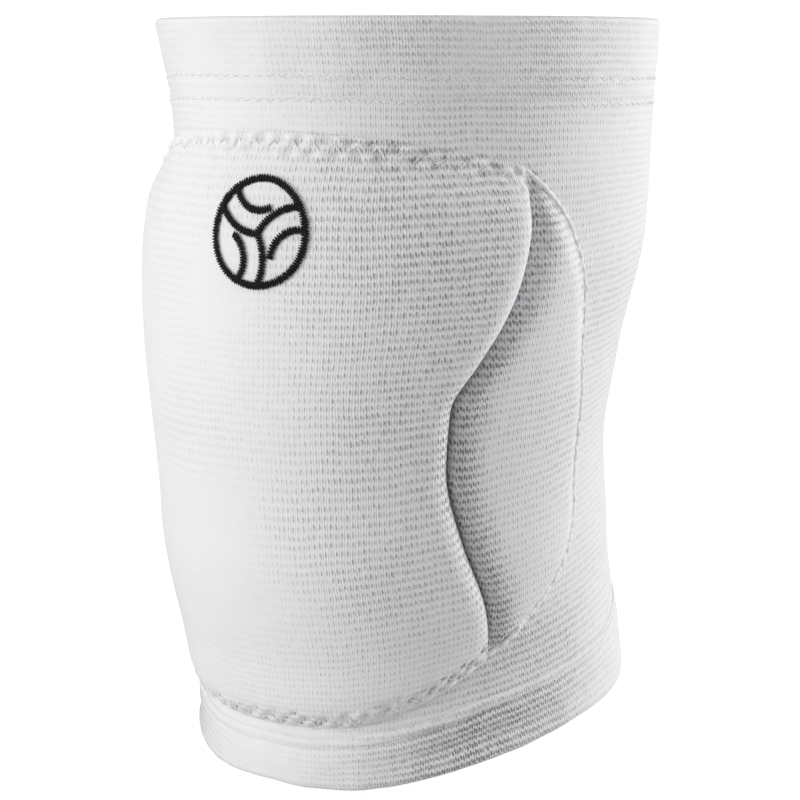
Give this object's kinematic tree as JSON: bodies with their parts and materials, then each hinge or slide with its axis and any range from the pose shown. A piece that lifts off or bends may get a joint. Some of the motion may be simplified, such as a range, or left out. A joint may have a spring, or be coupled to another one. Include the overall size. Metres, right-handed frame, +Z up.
{
  "type": "volleyball knee pad",
  "caption": "Pull-on volleyball knee pad: knitted sleeve with folded cuffs, foam pad over the knee, lens-shaped side pads and an embroidered ball.",
  "frame": {"origin": "middle of the leg's way through the sleeve, level with the knee", "axes": "+Z up the thigh, -Y to the front of the knee, X across the leg"},
  "size_m": [0.1366, 0.1459, 0.2021],
  "materials": {
    "white_knit": "matte stockinette knit",
    "cuff_knit": "matte elastic knit, folded double",
    "foam": "matte closed-cell foam",
    "black_thread": "satin-stitched rayon thread"
  },
  "bodies": {
    "root": {"knit_sleeve": "white_knit", "top_cuff": "cuff_knit", "bottom_cuff": "cuff_knit", "pad_cover": "white_knit", "front_foam": "foam", "side_foam_left": "foam", "side_foam_right": "foam", "ball_emblem": "black_thread"}
  },
  "joints": []
}
